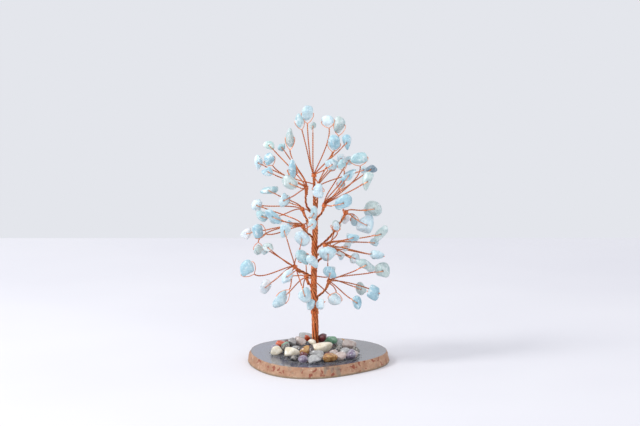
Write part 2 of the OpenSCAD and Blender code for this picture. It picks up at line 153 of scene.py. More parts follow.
class Shape:
    """Faces gathered from several shells, in millimetres, with a tint for each point, which holds a
    chip's own tone and the painted shade in the grooves of copper ropes.
    """

    def __init__(self):
        self.points, self.quads, self.tris, self.tints = [], [], [], []
        self.count = 0

    def add(self, points, quads=(), tris=(), tint=(1.0, 1.0, 1.0)):
        self.points.append(points)
        self.quads.append(np.asarray(quads, int).reshape(-1, 4) + self.count)
        self.tris.append(np.asarray(tris, int).reshape(-1, 3) + self.count)
        colour = np.ones((len(points), 4))
        colour[:, :3] = tint
        self.tints.append(colour)
        self.count += len(points)

    def build(self, name, *materials):
        mesh = bpy.data.meshes.new(name)
        quads, tris = np.concatenate(self.quads), np.concatenate(self.tris)
        corners = np.concatenate([quads.ravel(), tris.ravel()]).astype(np.int32)
        sizes = np.concatenate([np.full(len(quads), 4), np.full(len(tris), 3)])
        starts = (np.cumsum(sizes) - sizes).astype(np.int32)
        mesh.vertices.add(self.count)
        mesh.vertices.foreach_set("co", (np.concatenate(self.points) * MM).astype(np.float32).ravel())
        mesh.loops.add(len(corners))
        mesh.loops.foreach_set("vertex_index", corners)
        mesh.polygons.add(len(sizes))
        mesh.polygons.foreach_set("loop_start", starts)
        mesh.update(calc_edges=True)
        mesh.shade_smooth()
        tint = mesh.attributes.new("tint", "FLOAT_COLOR", "POINT")
        tint.data.foreach_set("color", np.concatenate(self.tints).astype(np.float32).ravel())
        piece = bpy.data.objects.new(name, mesh)
        bpy.context.scene.collection.objects.link(piece)
        for material in materials:
            mesh.materials.append(material)
        return piece


def ring_quads(rows, columns, closed=False):
    """Quads between rings of points: each ring joins the next, and the last the first if closed."""
    index = np.arange(rows * columns).reshape(rows, columns)
    below = np.roll(index, -1, axis=0)
    if not closed:
        index, below = index[:-1], below[:-1]
    quads = np.stack([index, below, np.roll(below, -1, axis=1), np.roll(index, -1, axis=1)], axis=-1)
    return quads.reshape(-1, 4)


def fan(hub, first, columns, flipped=False):
    """Triangles from a middle point to a ring of points that starts at the point first."""
    here = first + np.arange(columns)
    after = first + (np.arange(columns) + 1) % columns
    rim = (after, here) if flipped else (here, after)
    return np.stack([np.full(columns, hub), *rim], axis=1)


# Painted shade in the grooves of a rope, as shares of its radius: where the shade is darkest, and the
# depth over which it fades from there
GROOVE_SHADE_FLOOR = 0.62
GROOVE_SHADE_DEPTH = 0.34


def add_tube(shape, path, radius, middle=None, envelope=None, sides=WIRE_SIDES):
    """A round wire along a path, with closed ends. Where it is one wire of a rope, the rope's
    middle line and radius say how deep each of its points lies in the grooves between wires,
    which sets how much painted shade the point gets there."""
    across, up = sides_of(path, SLANTWISE)
    radius = np.broadcast_to(radius, len(path))[:, None, None]
    turn = -2 * math.pi * np.arange(sides) / sides
    rings = path[:, None] + radius * (
        np.cos(turn)[None, :, None] * across[:, None] + np.sin(turn)[None, :, None] * up[:, None])
    points = np.concatenate([rings.reshape(-1, 3), path[[0, -1]]])
    hub, last = len(path) * sides, (len(path) - 1) * sides
    caps = np.concatenate([fan(hub, 0, sides), fan(hub + 1, last, sides, flipped=True)])
    tint = np.ones((len(points), 3))
    if middle is not None:
        away = np.linalg.norm(rings - middle[:, None], axis=2) / np.reshape(envelope, (-1, 1))
        # painted shade: a point deep in a groove gets a low tint, which the copper finish turns dark
        tint[:-2] = smoothstep((away.reshape(-1, 1) - GROOVE_SHADE_FLOOR) / GROOVE_SHADE_DEPTH)
    shape.add(points, ring_quads(len(path), sides), caps, tint)


def packed(count):
    """Radius of each of count wires laid side by side in a ring, as a share of the whole rope's."""
    if count == 1:
        return 1
    wire = math.sin(math.pi / count)
    return wire / (1 + wire)


def add_rope(shape, path, radius, groups, wires, pitch, group_pitch, phase=0.0):
    """A rope of wire laid round a path: groups of wires, and wires turned together in each group."""
    group_shift, press = 0.37, 1.06
    across, up = sides_of(path, SIDEWAYS)
    along = lengths(path)
    radius = np.broadcast_to(radius, len(path))
    pitch = np.broadcast_to(pitch, len(path))
    turns = phase + np.cumsum(np.gradient(along) / pitch)
    group_r = radius * packed(groups)
    wire_r = group_r * packed(wires)
    out, off = radius - group_r, group_r - wire_r
    for g in range(groups):
        turn = -2 * math.pi * (turns + g / groups)
        middle = path + (out * np.cos(turn))[:, None] * across + (out * np.sin(turn))[:, None] * up
        for w in range(wires):
            spin = -2 * math.pi * (along / group_pitch + w / wires + group_shift * g)
            line = middle + (off * np.cos(spin))[:, None] * across + (off * np.sin(spin))[:, None] * up
            # the rope's middle and radius set each wire's painted shade in the grooves
            add_tube(shape, line, wire_r * press, path, radius)


# ---------------------------------------------------------------- reading the frame

def node_solids(name):
    """The separate solids of a CAD node, each as its points in millimetres and its triangles."""
    mesh = frame["nodes"][name].data
    mesh.calc_loop_triangles()
    co = np.zeros(len(mesh.vertices) * 3, np.float32)
    mesh.vertices.foreach_get("co", co)
    tris = np.zeros(len(mesh.loop_triangles) * 3, np.int32)
    mesh.loop_triangles.foreach_get("vertices", tris)
    points, same = np.unique(co.reshape(-1, 3), axis=0, return_inverse=True)
    tris = same.ravel()[tris].reshape(-1, 3)
    label = np.arange(len(points))
    while True:
        spread = label.copy()
        np.minimum.at(spread, tris, np.repeat(label[tris].min(axis=1)[:, None], 3, axis=1))
        if (spread == label).all():
            break
        label = spread
    solids = []
    for group in np.unique(label):
        kept = tris[label[tris[:, 0]] == group]
        ids, local = np.unique(kept, return_inverse=True)
        solids.append((points[ids].astype(float) / MM, local.reshape(-1, 3)))
    return solids


# How far an end's faces may be off one plane, off one direction and off a round outline
LEVEL_GAP, FACING_GAP, ROUND_GAP = 0.01, 1e-3, 0.02


def end_caps(points, tris, corners):
    """The flat round ends of a wire, as (radius, middle, direction, corner numbers)."""
    edges = points[tris]
    normals = np.cross(edges[:, 1] - edges[:, 0], edges[:, 2] - edges[:, 0])
    normals /= np.linalg.norm(normals, axis=1, keepdims=True)
    heights = normals @ edges.mean(axis=1).T
    level = np.abs(heights - np.diag(heights)[:, None]) < LEVEL_GAP
    caps = {}
    for flat in level & (normals @ normals.T > 1 - FACING_GAP):
        rim = np.unique(tris[flat])
        if flat.sum() == corners - 2 and len(rim) == corners:
            middle = points[rim].mean(axis=0)
            away = np.linalg.norm(points[rim] - middle, axis=1)
            if np.ptp(away) < ROUND_GAP:
                caps[tuple(rim)] = (away.mean(), middle, normals[flat][0], rim)
    return sorted(caps.values(), key=lambda cap: -cap[0])


def wire_rings(points, tris, sides=TWIG_SIDES):
    """Middles of a wire's rings of points, from its thicker end."""
    touching = np.zeros((len(points), len(points)), bool)
    for i, j in ((0, 1), (1, 2), (2, 0)):
        touching[tris[:, i], tris[:, j]] = True
        touching[tris[:, j], tris[:, i]] = True
    ring = np.zeros(len(points), bool)
    ring[end_caps(points, tris, sides)[0][3]] = True
    seen = ring.copy()
    middles = []
    while ring.any():
        middles.append(points[ring].mean(axis=0))
        ring = touching[ring].any(axis=0) & ~seen
        seen |= ring
    return np.array(middles)


def stone_frame(points, axis):
    """Middle, axes and half sizes of a stone, with the given axis last."""
    flat = points - np.outer(points @ axis, axis)
    flat = flat - flat.mean(axis=0)
    a = np.linalg.eigh(flat.T @ flat)[1][:, -1]
    a = unit(a - a.dot(axis) * axis)
    axes = np.array([a, np.cross(axis, a), axis])
    spans = points @ axes.T
    middle = (spans.min(axis=0) + spans.max(axis=0)) / 2 @ axes
    return middle, axes, np.ptp(spans, axis=0) / 2


# ---------------------------------------------------------------- materials

def srgb(colour):
    """Linear values of a colour given in 8-bit sRGB."""
    return tuple((c / 255 / 12.92) if c <= 10 else ((c / 255 + 0.055) / 1.055) ** 2.4 for c in colour)


def rgba(colour):
    return (*srgb(colour), 1.0)


class Finish:
    """A procedural material in the making: its node tree and its shader."""

    def __init__(self, name, roughness=0.5, **settings):
        self.material = bpy.data.materials.new(name)
        self.material.use_nodes = True
        self.tree = self.material.node_tree
        self.shader = self.tree.nodes["Principled BSDF"]
        self.shader.inputs["Roughness"].default_value = roughness
        for key, value in settings.items():
            self.shader.inputs[key.replace("_", " ")].default_value = value
        place = self.node("ShaderNodeTexCoord")
        scale = self.node("ShaderNodeVectorMath", operation="SCALE")
        scale.inputs["Scale"].default_value = 1 / MM
        self.link(place.outputs["Object"], scale.inputs[0])
        self.place = scale.outputs[0]

    def node(self, kind, **settings):
        made = self.tree.nodes.new(kind)
        for key, value in settings.items():
            setattr(made, key, value)
        return made

    def link(self, source, target):
        self.tree.links.new(source, target)

    def noise(self, size, detail=3.0, rough=0.55, distortion=0.0):
        """Cloudy noise from 0 to 1 whose lumps are about size millimetres."""
        made = self.node("ShaderNodeTexNoise")
        made.inputs["Scale"].default_value = 1 / size
        made.inputs["Detail"].default_value = detail
        made.inputs["Roughness"].default_value = rough
        made.inputs["Distortion"].default_value = distortion
        self.link(self.place, made.inputs["Vector"])
        return made.outputs["Fac"]

    def remap(self, value, low, high, to_low=0.0, to_high=1.0, smooth=False):
        """The value's range from low to high, spread over to_low to to_high."""
        ramp = "SMOOTHSTEP" if smooth else "LINEAR"
        made = self.node("ShaderNodeMapRange", interpolation_type=ramp)
        self.link(value, made.inputs["Value"])
        ends = {"From Min": low, "From Max": high, "To Min": to_low, "To Max": to_high}
        for key, number in ends.items():
            made.inputs[key].default_value = number
        return made.outputs["Result"]

    def math(self, operation, *values):
        made = self.node("ShaderNodeMath", operation=operation)
        for socket, value in zip(made.inputs, values):
            if isinstance(value, (int, float)):
                socket.default_value = value
            else:
                self.link(value, socket)
        return made.outputs[0]

    def mix(self, share, first, second, kind="MIX"):
        """Mixes two colours, each a plain colour or a socket."""
        made = self.node("ShaderNodeMix", data_type="RGBA", blend_type=kind)
        sockets = {s.identifier: s for s in made.inputs}
        pairs = (("Factor_Float", share), ("A_Color", first), ("B_Color", second))
        for key, value in pairs:
            if isinstance(value, (int, float, tuple)):
                sockets[key].default_value = value
            else:
                self.link(value, sockets[key])
        return {s.identifier: s for s in made.outputs}["Result_Color"]

    def attribute(self, name, output="Color"):
        made = self.node("ShaderNodeAttribute", attribute_name=name)
        return made.outputs[output]

    def colour(self, socket):
        self.link(socket, self.shader.inputs["Base Color"])

    def roughness(self, socket):
        self.link(socket, self.shader.inputs["Roughness"])

    def bump(self, height, depth):
        """Relief of about depth millimetres."""
        made = self.node("ShaderNodeBump")
        made.inputs["Strength"].default_value = 1.0
        made.inputs["Distance"].default_value = depth * MM
        self.link(height, made.inputs["Height"])
        self.link(made.outputs["Normal"], self.shader.inputs["Normal"])


def copper_finish():
    """Copper wire, bright on its outside, with painted shade darkening it in the grooves between wires.
    """
    f = Finish("copper", Metallic=1.0)
    cloud = f.remap(f.noise(5, 4), 0.35, 0.65, smooth=True)
    bright = f.mix(cloud, rgba((252, 166, 112)), rgba((232, 130, 78)))
    tarnish = f.remap(f.noise(1.4, 5), 0.58, 0.75, 0, 0.6, smooth=True)
    worn_wire = f.mix(tarnish, bright, rgba((196, 104, 62)))
    # painted shade: where the tint is low, in the grooves between wires, the copper turns dark brown
    f.colour(f.mix(f.attribute("tint", "Fac"), rgba((126, 60, 36)), worn_wire))
    f.roughness(f.remap(f.noise(0.8), 0.3, 0.7, 0.24, 0.4))
    f.bump(f.noise(0.35, 2), 0.02)
    return f.material


def aquamarine_finish():
    """Milky tumbled aquamarine in each leaf's own tone, with clouds, veils and grey specks."""
    f = Finish("aquamarine", IOR=1.45, Transmission_Weight=0.1, Subsurface_Weight=0.6)
    f.shader.inputs["Subsurface Radius"].default_value = (0.85, 1.0, 1.0)
    f.shader.inputs["Subsurface Scale"].default_value = 0.002
    tint = f.attribute("tint")
    deep = f.mix(1.0, tint, rgba((228, 236, 240)), "MULTIPLY")
    cloud = f.remap(f.noise(4, 2, 0.5, 0.4), 0.36, 0.62, smooth=True)
    body = f.mix(cloud, deep, tint)
    veil = f.remap(f.noise(2.4, 4, 0.55, 1.2), 0.5, 0.68, 0, 0.7, smooth=True)
    body = f.mix(veil, body, rgba((240, 246, 247)))
    speck = f.remap(f.noise(2.2, 2, 0.5), 0.62, 0.7, 0, 0.3, smooth=True)
    f.colour(f.mix(speck, body, rgba((158, 176, 176))))
    f.roughness(f.remap(f.noise(1.2, 3), 0.3, 0.7, 0.2, 0.42))
    f.bump(f.noise(2, 2, 0.5), 0.05)
    return f.material


def stone_finish(name, base, second, dark, grain=1.5, cover=(0.42, 0.6), transmission=0.0, gloss=0.14):
    """A tumbled stone: two tones in clouds, dark flecks, and a wet-looking polish."""
    f = Finish(name, IOR=1.55, Transmission_Weight=transmission, Coat_Weight=0.35)
    f.shader.inputs["Coat Roughness"].default_value = 0.06
    cloud = f.remap(f.noise(grain, 5, 0.6, 0.6), cover[0], cover[1], smooth=True)
    body = f.mix(cloud, rgba(base), rgba(second))
    fleck = f.remap(f.noise(grain * 0.45, 4, 0.6), 0.6, 0.72, 0, 0.8, smooth=True)
    f.colour(f.mix(fleck, body, rgba(dark)))
    f.roughness(f.remap(f.noise(0.9), 0.3, 0.7, gloss * 0.7, gloss * 1.8))
    f.bump(f.noise(0.5, 3), 0.04)
    return f.material


def agate_top_finish():
    """The polished face: bands that follow the outline, cooler clouds, and a warmer right side."""
    f = Finish("agate_polished", IOR=1.54, Coat_Weight=0.4)
    f.shader.inputs["Coat Roughness"].default_value = 0.05
    rim = f.attribute("rim", "Fac")
    wander = f.remap(f.noise(9, 3), 0, 1, -0.05, 0.05)
    depth = f.math("ADD", rim, wander)
    band = f.node("ShaderNodeTexNoise", noise_dimensions="1D")
    band.inputs["Scale"].default_value = 26.0
    band.inputs["Detail"].default_value = 4.0
    f.link(depth, band.inputs["W"])
    bands = f.remap(band.outputs["Fac"], 0.35, 0.68, smooth=True)
    tone = f.mix(bands, rgba((92, 92, 106)), rgba((112, 112, 122)))
    cloud = f.remap(f.noise(14, 3), 0.35, 0.65, 0, 0.5, smooth=True)
    tone = f.mix(cloud, tone, rgba((98, 106, 128)))
    warm = f.remap(f.attribute("across", "Fac"), -0.2, 0.9, 0, 0.7, smooth=True)
    tone = f.mix(warm, tone, rgba((84, 80, 78)))
    uneven_rim = f.math("ADD", rim, f.math("MULTIPLY", wander, 0.5))
    edge = f.remap(uneven_rim, 0.972, 0.995, 0, 0.9, smooth=True)
    tone = f.mix(edge, tone, rgba((104, 88, 80)))
    f.colour(tone)
    f.roughness(f.remap(f.noise(2.5), 0.3, 0.7, 0.1, 0.2))
    f.bump(f.noise(1.5, 2), 0.01)
    return f.material


def rind_finish():
    """The natural rim: rough tan with pale grains, rust spots, moss-grey patches, and darker grey-green
    towards its foot.
    """
    f = Finish("agate_rind", IOR=1.5)
    cloud = f.remap(f.noise(4, 5), 0.35, 0.65, smooth=True)
    tan = f.mix(cloud, rgba((190, 152, 124)), rgba((168, 126, 98)))
    grain = f.remap(f.noise(0.9, 6, 0.7), 0.45, 0.75, 0, 0.8, smooth=True)
    tan = f.mix(grain, tan, rgba((160, 116, 92)))
    pale = f.remap(f.noise(1.6, 5, 0.6), 0.6, 0.72, 0, 0.7, smooth=True)
    tan = f.mix(pale, tan, rgba((224, 204, 184)))
    spot = f.remap(f.noise(2.6, 3, 0.5, 0.3), 0.58, 0.64, 0, 0.85, smooth=True)
    tan = f.mix(spot, tan, rgba((138, 62, 42)))
    moss = f.remap(f.noise(6, 3, 0.5), 0.58, 0.68, 0, 0.6, smooth=True)
    tan = f.mix(moss, tan, rgba((128, 122, 108)))
    low = f.remap(f.attribute("height", "Fac"), 0.5, 1.4, 0.6, 0, smooth=True)
    f.colour(f.mix(low, tan, rgba((128, 122, 98))))
    f.roughness(f.remap(f.noise(0.8), 0.3, 0.7, 0.55, 0.85))
    f.bump(f.noise(0.8, 6, 0.7), 0.35)
    return f.material


def glue_finish():
    """Clear glue with a slightly wavy skin."""
    f = Finish("clear_glue", IOR=1.3, Transmission_Weight=0.9)
    f.colour(f.mix(f.noise(2.5, 3), rgba((250, 250, 248)), rgba((240, 240, 238))))
    f.roughness(f.remap(f.noise(1.5), 0.3, 0.7, 0.06, 0.16))
    f.bump(f.noise(1.6, 3), 0.12)
    return f.material


# ---------------------------------------------------------------- stones

def worn_radius(directions, rng, flats, low, high, sharp=11.0):
    """How far a tumbled stone reaches each way: a ball worn down by flats with soft edges."""
    normals = rng.normal(size=(flats, 3))
    normals /= np.linalg.norm(normals, axis=1, keepdims=True)
    depths = rng.uniform(low, high, flats)
    reach = np.clip(directions @ normals.T, 0, None) / depths
    return (1 + (reach ** sharp).sum(axis=-1)) ** (-1 / sharp)


def worn(directions, half, rng, flats=8, low=0.56, high=0.88):
    """Points of a tumbled stone of the given half sizes, narrower towards one end."""
    local = directions * worn_radius(directions, rng, flats, low, high)[..., None]
    taper = rng.uniform(0.12, 0.36) * rng.choice((-1, 1))
    skew = rng.uniform(-0.18, 0.18)
    local[..., 1] *= 1 + taper * local[..., 0]
    local[..., 2] *= 1 - 0.6 * taper * local[..., 0]
    local[..., 0] += skew * local[..., 1] ** 2
    flat = local.reshape(-1, 3)
    local -= (flat.max(axis=0) + flat.min(axis=0)) / 2
    return local * (2 * half / np.ptp(flat, axis=0))


def add_drilled_chip(shape, middle, axes, half, seed, tint, columns=30, rows=16):
    """A tumbled chip with a hole drilled along its last axis."""
    rng = np.random.default_rng(seed)
    mouth_r, edge_wear, lip = 1.3 * HOLE_R, 0.97, 0.93
    mouth = math.acos(mouth_r / (half[0] + half[1]) * 2)
    slope = np.linspace(mouth, -mouth, rows)[:, None]
    turn = 2 * math.pi * np.arange(columns)[None] / columns
    directions = np.stack(np.broadcast_arrays(
        np.cos(slope) * np.cos(turn), np.cos(slope) * np.sin(turn), np.sin(slope)), axis=-1)
    skin = worn(directions, half, rng)
    skin[..., 2] *= edge_wear
    bore = np.empty((3, columns, 3))
    bore[..., 0] = HOLE_R * np.cos(turn)
    bore[..., 1] = HOLE_R * np.sin(turn)
    bore[..., 2] = lip * skin[-1, :, 2], 0 * turn[0], lip * skin[0, :, 2]
    rings = np.concatenate([skin, bore])
    quads = ring_quads(len(rings), columns, closed=True)
    shape.add(rings.reshape(-1, 3) @ axes + middle, quads, tint=tint)


def ball_faces(subdivisions=4):
    """Points and triangles of a ball of radius 1."""
    made = bmesh.new()
    bmesh.ops.create_icosphere(made, subdivisions=subdivisions, radius=1.0)
    points = np.array([v.co for v in made.verts])
    tris = np.array([[v.index for v in f.verts] for f in made.faces])
    made.free()
    return points / np.linalg.norm(points, axis=1, keepdims=True), tris


BALL_POINTS, BALL_TRIS = ball_faces()


# ---------------------------------------------------------------- trunk

# The trunk in the frame, in millimetres
trunk_low, trunk_high = (np.array(corner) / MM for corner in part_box("trunk_strands"))
TRUNK_FOOT_R = (trunk_high[0] - trunk_low[0]) / 2
TRUNK_TOP_R = 0.68 * TRUNK_FOOT_R
FOOT_Z = trunk_low[2]
TOP_Z = trunk_high[2]


def trunk_radius(z):
    return TRUNK_FOOT_R + (TRUNK_TOP_R - TRUNK_FOOT_R) * (z - FOOT_Z) / (TOP_Z - FOOT_Z)


def trunk_middle(z):
    """The trunk's middle sways a little with height."""
    return np.stack([0.35 * np.sin(z / 9), 0.3 * np.sin(z / 13 + 1), z], axis=-1)


# The strands run nearly straight at the foot and lie like rope higher up: the pitch of each, the
# height at which it begins to change, and over what length
STRAIGHT_PITCH, ROPE_PITCH = 90, 15
LAY_Z, LAY_LENGTH = 24, 14

# The trunk narrows where the leader takes over: from how far below its top, over what length
# and by what share
NECK_DROP, NECK_LENGTH, NECK_SHARE = 4, 5, 0.35


def fixed_copper(shape, name, node, copper):
    """A copper piece that stays with the slice."""
    piece = shape.build(name, copper)
    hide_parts(node)
    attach(piece, "base")


def binding_line():
    """One wire wound round the trunk over the height of the frame's rings."""
    turns, count = 3.6, 90
    low, high = (corner[2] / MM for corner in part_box("trunk_binding"))
    turn = np.linspace(0, 2 * math.pi * turns, count)
    z = np.linspace(low + 0.1, high + 0.5, count)
    away = trunk_radius(z) + WIRE_R
    return trunk_middle(z) + np.stack([away * np.cos(turn), away * np.sin(turn), 0 * z], axis=1)


def build_trunk(copper):
    """The trunk's strands round its core, its binding, and the wire ends splayed at its foot."""
    past_top, step = 1.2, 0.3
    heights = np.arange(FOOT_Z, TOP_Z + past_top, step)
    path = trunk_middle(heights)
    neck = smoothstep((heights - TOP_Z + NECK_DROP) / NECK_LENGTH)
    radius = trunk_radius(heights) * (1 - NECK_SHARE * neck)
    lay = smoothstep((heights - LAY_Z) / LAY_LENGTH)
    pitch = STRAIGHT_PITCH * (1 - lay) + ROPE_PITCH * lay
    strands, core, binding, roots = (Shape() for _ in range(4))
    add_rope(strands, path, radius, groups=6, wires=4, pitch=pitch, group_pitch=11.0)
    fixed_copper(strands, "trunk_strand_wires", "trunk_strands", copper)
    add_rope(core, path, radius / 3, groups=1, wires=3, pitch=ROPE_PITCH, group_pitch=6.0)
    fixed_copper(core, "trunk_core_wires", "trunk_core", copper)
    add_tube(binding, binding_line(), WIRE_R)
    fixed_copper(binding, "trunk_binding_wire", "trunk_binding", copper)
    for solid in node_solids("root_wires"):
        line = resample(wire_rings(*solid), 0.5)
        add_rope(roots, line, 0.42, groups=1, wires=3, pitch=8.0, group_pitch=4.0)
    fixed_copper(roots, "root_wire_ends", "root_wires", copper)


# ---------------------------------------------------------------- boughs

def cubic_through(points, count):
    """A cubic curve through four evenly spaced points, from the last to the first."""
    t = np.linspace(1, 0, count)[:, None]
    a, b, c, d = points
    return (a * (1 - 3 * t) * (2 - 3 * t) * (1 - t) / 2 + b * 9 * t * (2 - 3 * t) * (1 - t) / 2
            + c * 9 * t * (3 * t - 1) * (1 - t) / 2 + d * t * (3 * t - 1) * (3 * t - 2) / 2)


def chip_hole(rings):
    """Middle of the hole that a twig's loop goes through, its direction, and half its length."""
    start, end = rings[HOLE_RING], rings[HOLE_END_RING]
    half = np.linalg.norm(start - end) / 2 - FRAME_LOOP_GAP
    return (start + end) / 2, unit(start - end), half


# A twig's loop round and through its chip, as corners along the loop's reach and across it. In
# the frame, the corner before the hole stands back from it by REACH_SHARE of the reach.
LOOP_CORNERS = ((-0.76, 0.56), (-0.34, 0.96), (0, 1), (0, -1), (-0.34, -0.96), (-0.76, -0.56))
REACH_SHARE = 0.3

# Where a twig's wire ends inside the stem: shares of the way to the stem's middle, and how far
# back along the stem
TWIG_ROOTS = ((0.62, 1.5), (0.66, 3.2))


def twig_wire(rings, knot, stem_way):
    """The wire of one twig, from inside the stem out to the chip and back, as add_tube takes it."""
    gather_share, gather, corner_r = 0.4, 0.6, 0.5
    start = rings[0]
    middle, hole_way, half = chip_hole(rings)
    rise = half + LOOP_GAP
    way = unit(rings[HOLE_RING] - rings[CORNER_RING])
    reach = np.linalg.norm(rings[HOLE_RING] - rings[CORNER_RING]) / REACH_SHARE
    line = cubic_through(rings[:FORK_RING + 1], 40)
    out = (start - knot) - (start - knot).dot(stem_way) * stem_way
    near = smoothstep(1 - np.linspace(1, 0, len(line)) / gather_share)[:, None]
    line = line - gather * near * out
    roots = [start - share * out - stem_way * depth for share, depth in TWIG_ROOTS]
    line = resample(np.concatenate([line, roots]), TWIST_PITCH / TWIST_STEPS)
    across, up = sides_of(line, hole_way)
    turn = 2 * math.pi * np.arange(len(line)) / TWIST_STEPS
    swing = WIRE_R * (np.cos(turn)[:, None] * across + np.sin(turn)[:, None] * up)
    loop = [middle + along * reach * way + side * rise * hole_way for along, side in LOOP_CORNERS]
    there, back = line + swing, line - swing
    corners = rounded([there[0], *loop, back[0]], corner_r)
    wire = np.concatenate([there[:0:-1], corners, back[1:]])
    # the twisted pair gets painted shade where its two wires meet; the loop, a single wire, gets none
    middles = np.concatenate([line[:0:-1], corners, line[1:]])
    envelope = np.full(len(wire), 2 * WIRE_R)
    envelope[len(line) - 1:len(line) - 1 + len(corners)] = WIRE_R
    return wire, WIRE_R, middles, envelope


# A bough's name and body, its root on the trunk and the side it leans to, the knot at which its
# twigs spread and the stem's direction there, and whether it leads on from the trunk's top
Bough = namedtuple("Bough", "name body root way knot stem_way leader")


def read_bough(joint):
    """What the frame says about the bough that a joint moves."""
    name = joint["child"].removeprefix("bough_")
    root = np.array(joint["pos_m"]) / MM
    points, tris = node_solids("stem_" + name)[0]
    _, knot, stem_way, _ = end_caps(points, tris, STEM_SIDES)[0]
    way = np.cross(UP, joint["axis"])
    return Bough(name, joint["child"], root, way, knot, stem_way, root[2] > TOP_Z)


def leaving(bough):
    """Direction in which a bough leaves the trunk: up for the leader, or else out and upwards."""
    return UP if bough.leader else unit(bough.way + 0.6 * UP)


def stem_path(bough):
    """From inside the trunk, out at the root and on to the knot."""
    drop, step = 9.0, 0.35
    root, knot, out = bough.root, bough.knot, leaving(bough)
    low = trunk_middle(root[2] - drop)
    if not bough.leader:
        low = low + 0.8 * trunk_radius(low[2]) * bough.way
    below = bezier([low, low + 0.4 * drop * UP, root - 0.3 * drop * out, root], 24)
    pull = 0.35 * np.linalg.norm(knot - root)
    above = bezier([root, root + pull * out, knot - pull * bough.stem_way, knot], 40)
    return resample(np.concatenate([below[:-1], above]), step)


def between_rows(rows, places):
    """Rows read off between the given rows, at places counted in rows."""
    return np.stack([np.interp(places, np.arange(len(rows)), rows[:, k]) for k in range(3)], axis=1)


def wrap_knot(shape, path, radius):
    """A few turns of wire round the end of a stem, where its twigs spread."""
    turns, steps, end_rows, first_row, wrapped_rows = 3.5, 14, 12, 5, 5
    clearance, wobble, wobbles = 0.5, 0.12, 2.3
    end = path[-end_rows:]
    across, up = sides_of(end, SIDEWAYS)
    share = np.linspace(0, 1, int(turns * steps))
    places = share * wrapped_rows + first_row
    middle, across, up = (between_rows(rows, places) for rows in (end, across, up))
    turn = 2 * math.pi * turns * share
    away = radius + clearance + wobble * np.sin(wobbles * turn)
    line = middle + (away * np.cos(turn))[:, None] * across + (away * np.sin(turn))[:, None] * up
    add_tube(shape, line, 1.2 * WIRE_R)


# A stem's radius at its root and at its knot, and how many groups of three wires it has
LEADER_STEM = (0.95, 0.6, 4)
SIDE_STEM = (0.68, 0.5, 3)


def build_stem(bough, copper):
    """A bough's stem, from inside the trunk below its root out to the knot where its twigs spread."""
    wide, narrow, groups = LEADER_STEM if bough.leader else SIDE_STEM
    path = stem_path(bough)
    radius = wide + (narrow - wide) * np.linspace(0, 1, len(path)) ** 2
    stem = Shape()
    add_rope(stem, path, radius, groups, wires=3, pitch=7.0, group_pitch=3.1, phase=bough.root[2])
    wrap_knot(stem, path, narrow)
    piece = stem.build("stem_wires_" + bough.name, copper)
    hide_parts("stem_" + bough.name)
    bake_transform(piece)


def build_leaves(bough, copper, aquamarine):
    """A bough's twigs, and a drilled chip on each of them."""
    twigs, chips = Shape(), Shape()
    twig_rings = [wire_rings(*solid) for solid in node_solids("twigs_" + bough.name)]
    twig_rings.sort(key=lambda rings: -(rings[HOLE_RING] + rings[HOLE_END_RING])[2])
    stones = [points for points, _ in node_solids("chips_" + bough.name)]
    for i, rings in enumerate(twig_rings):
        add_tube(twigs, *twig_wire(rings, bough.knot, bough.stem_way))
        middle, hole_way, half_hole = chip_hole(rings)
        stone = min(stones, key=lambda points: np.linalg.norm(points.mean(axis=0) - middle))
        _, axes, half = stone_frame(stone, hole_way)
        half[2] = half_hole
        tone = np.array(srgb(TONES[LEAF_TONES[bough.name][i]]))
        add_drilled_chip(chips, middle, axes, half, round(bough.root[2]) + 100 * i, tone)
    made = (
        (twigs, "twig_wires_", "twigs_", "copper_wire", copper),
        (chips, "leaf_chips_", "chips_", "aquamarine", aquamarine))
    for shape, piece_name, node, slot, material in made:
        piece = shape.build(piece_name + bough.name, material)
        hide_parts(node + bough.name)
        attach(piece, bough.body)


# ---------------------------------------------------------------- slice, glue and heap

def outline(points, centre):
    """Radius of a ring of points at any angle round a centre."""
    away = points[:, :2] - centre
    angle = np.arctan2(away[:, 1], away[:, 0])
    order = np.argsort(angle)
    radius = np.linalg.norm(away, axis=1)
    return lambda turn: np.interp(turn, angle[order], radius[order], period=2 * math.pi)


# The slice's rings of points: how many points, the polished top's and the underside's rings as
# shares of the way out, and the steps down the side. OFF_TOP is the rim value off the top.
SLICE_COLUMNS = 540
TOP_SHARES = (0.02, 0.2, 0.4, 0.6, 0.75, 0.86, 0.93, 0.97, 0.99, 1.0)
UNDER_SHARES = (0.9, 0.5, 0.02)
SIDE_STEPS = 12
OFF_TOP = 1.1


def ragged(z, size, seed):
    """Unevenness from -1 to 1 round the slice, with lumps of about size millimetres."""
    round_r = 40
    turn = 2 * math.pi * np.arange(SLICE_COLUMNS) / SLICE_COLUMNS
    spots = zip(round_r * np.cos(turn) / size, round_r * np.sin(turn) / size)
    return np.array([noise.noise(Vector((x, y, z / size + seed))) for x, y in spots])


def slice_rings(foot, brow, height):
    """The slice's rings, from the middle of its top over the edge to the middle of its underside,
    each as its radii all round, its height and its rim value."""
    rings = []
    top = brow + 0.35 * ragged(0, size=5, seed=9) + 0.12 * ragged(0, size=1.2, seed=4)
    for share in TOP_SHARES:
        rings.append((top * share, height, share))
    for i in range(1, SIDE_STEPS):
        s = i / SIDE_STEPS
        z = height * (1 - s)
        radius = top * (1 - s) + (foot - 0.1) * s
        bulge = 0.25 * math.sin(math.pi * s)
        rough = 0.35 * ragged(z, size=3.2, seed=2) + 0.22 * ragged(z, size=1.1, seed=7)
        soft_edge = smoothstep(min(s, 1 - s) * 6 + 0.15)
        rings.append((radius + bulge + rough * soft_edge, z, OFF_TOP))
    rings.append((foot - 0.5, 0.0, OFF_TOP))
    for share in UNDER_SHARES:
        rings.append((foot * share, 0.0, OFF_TOP))
    return rings


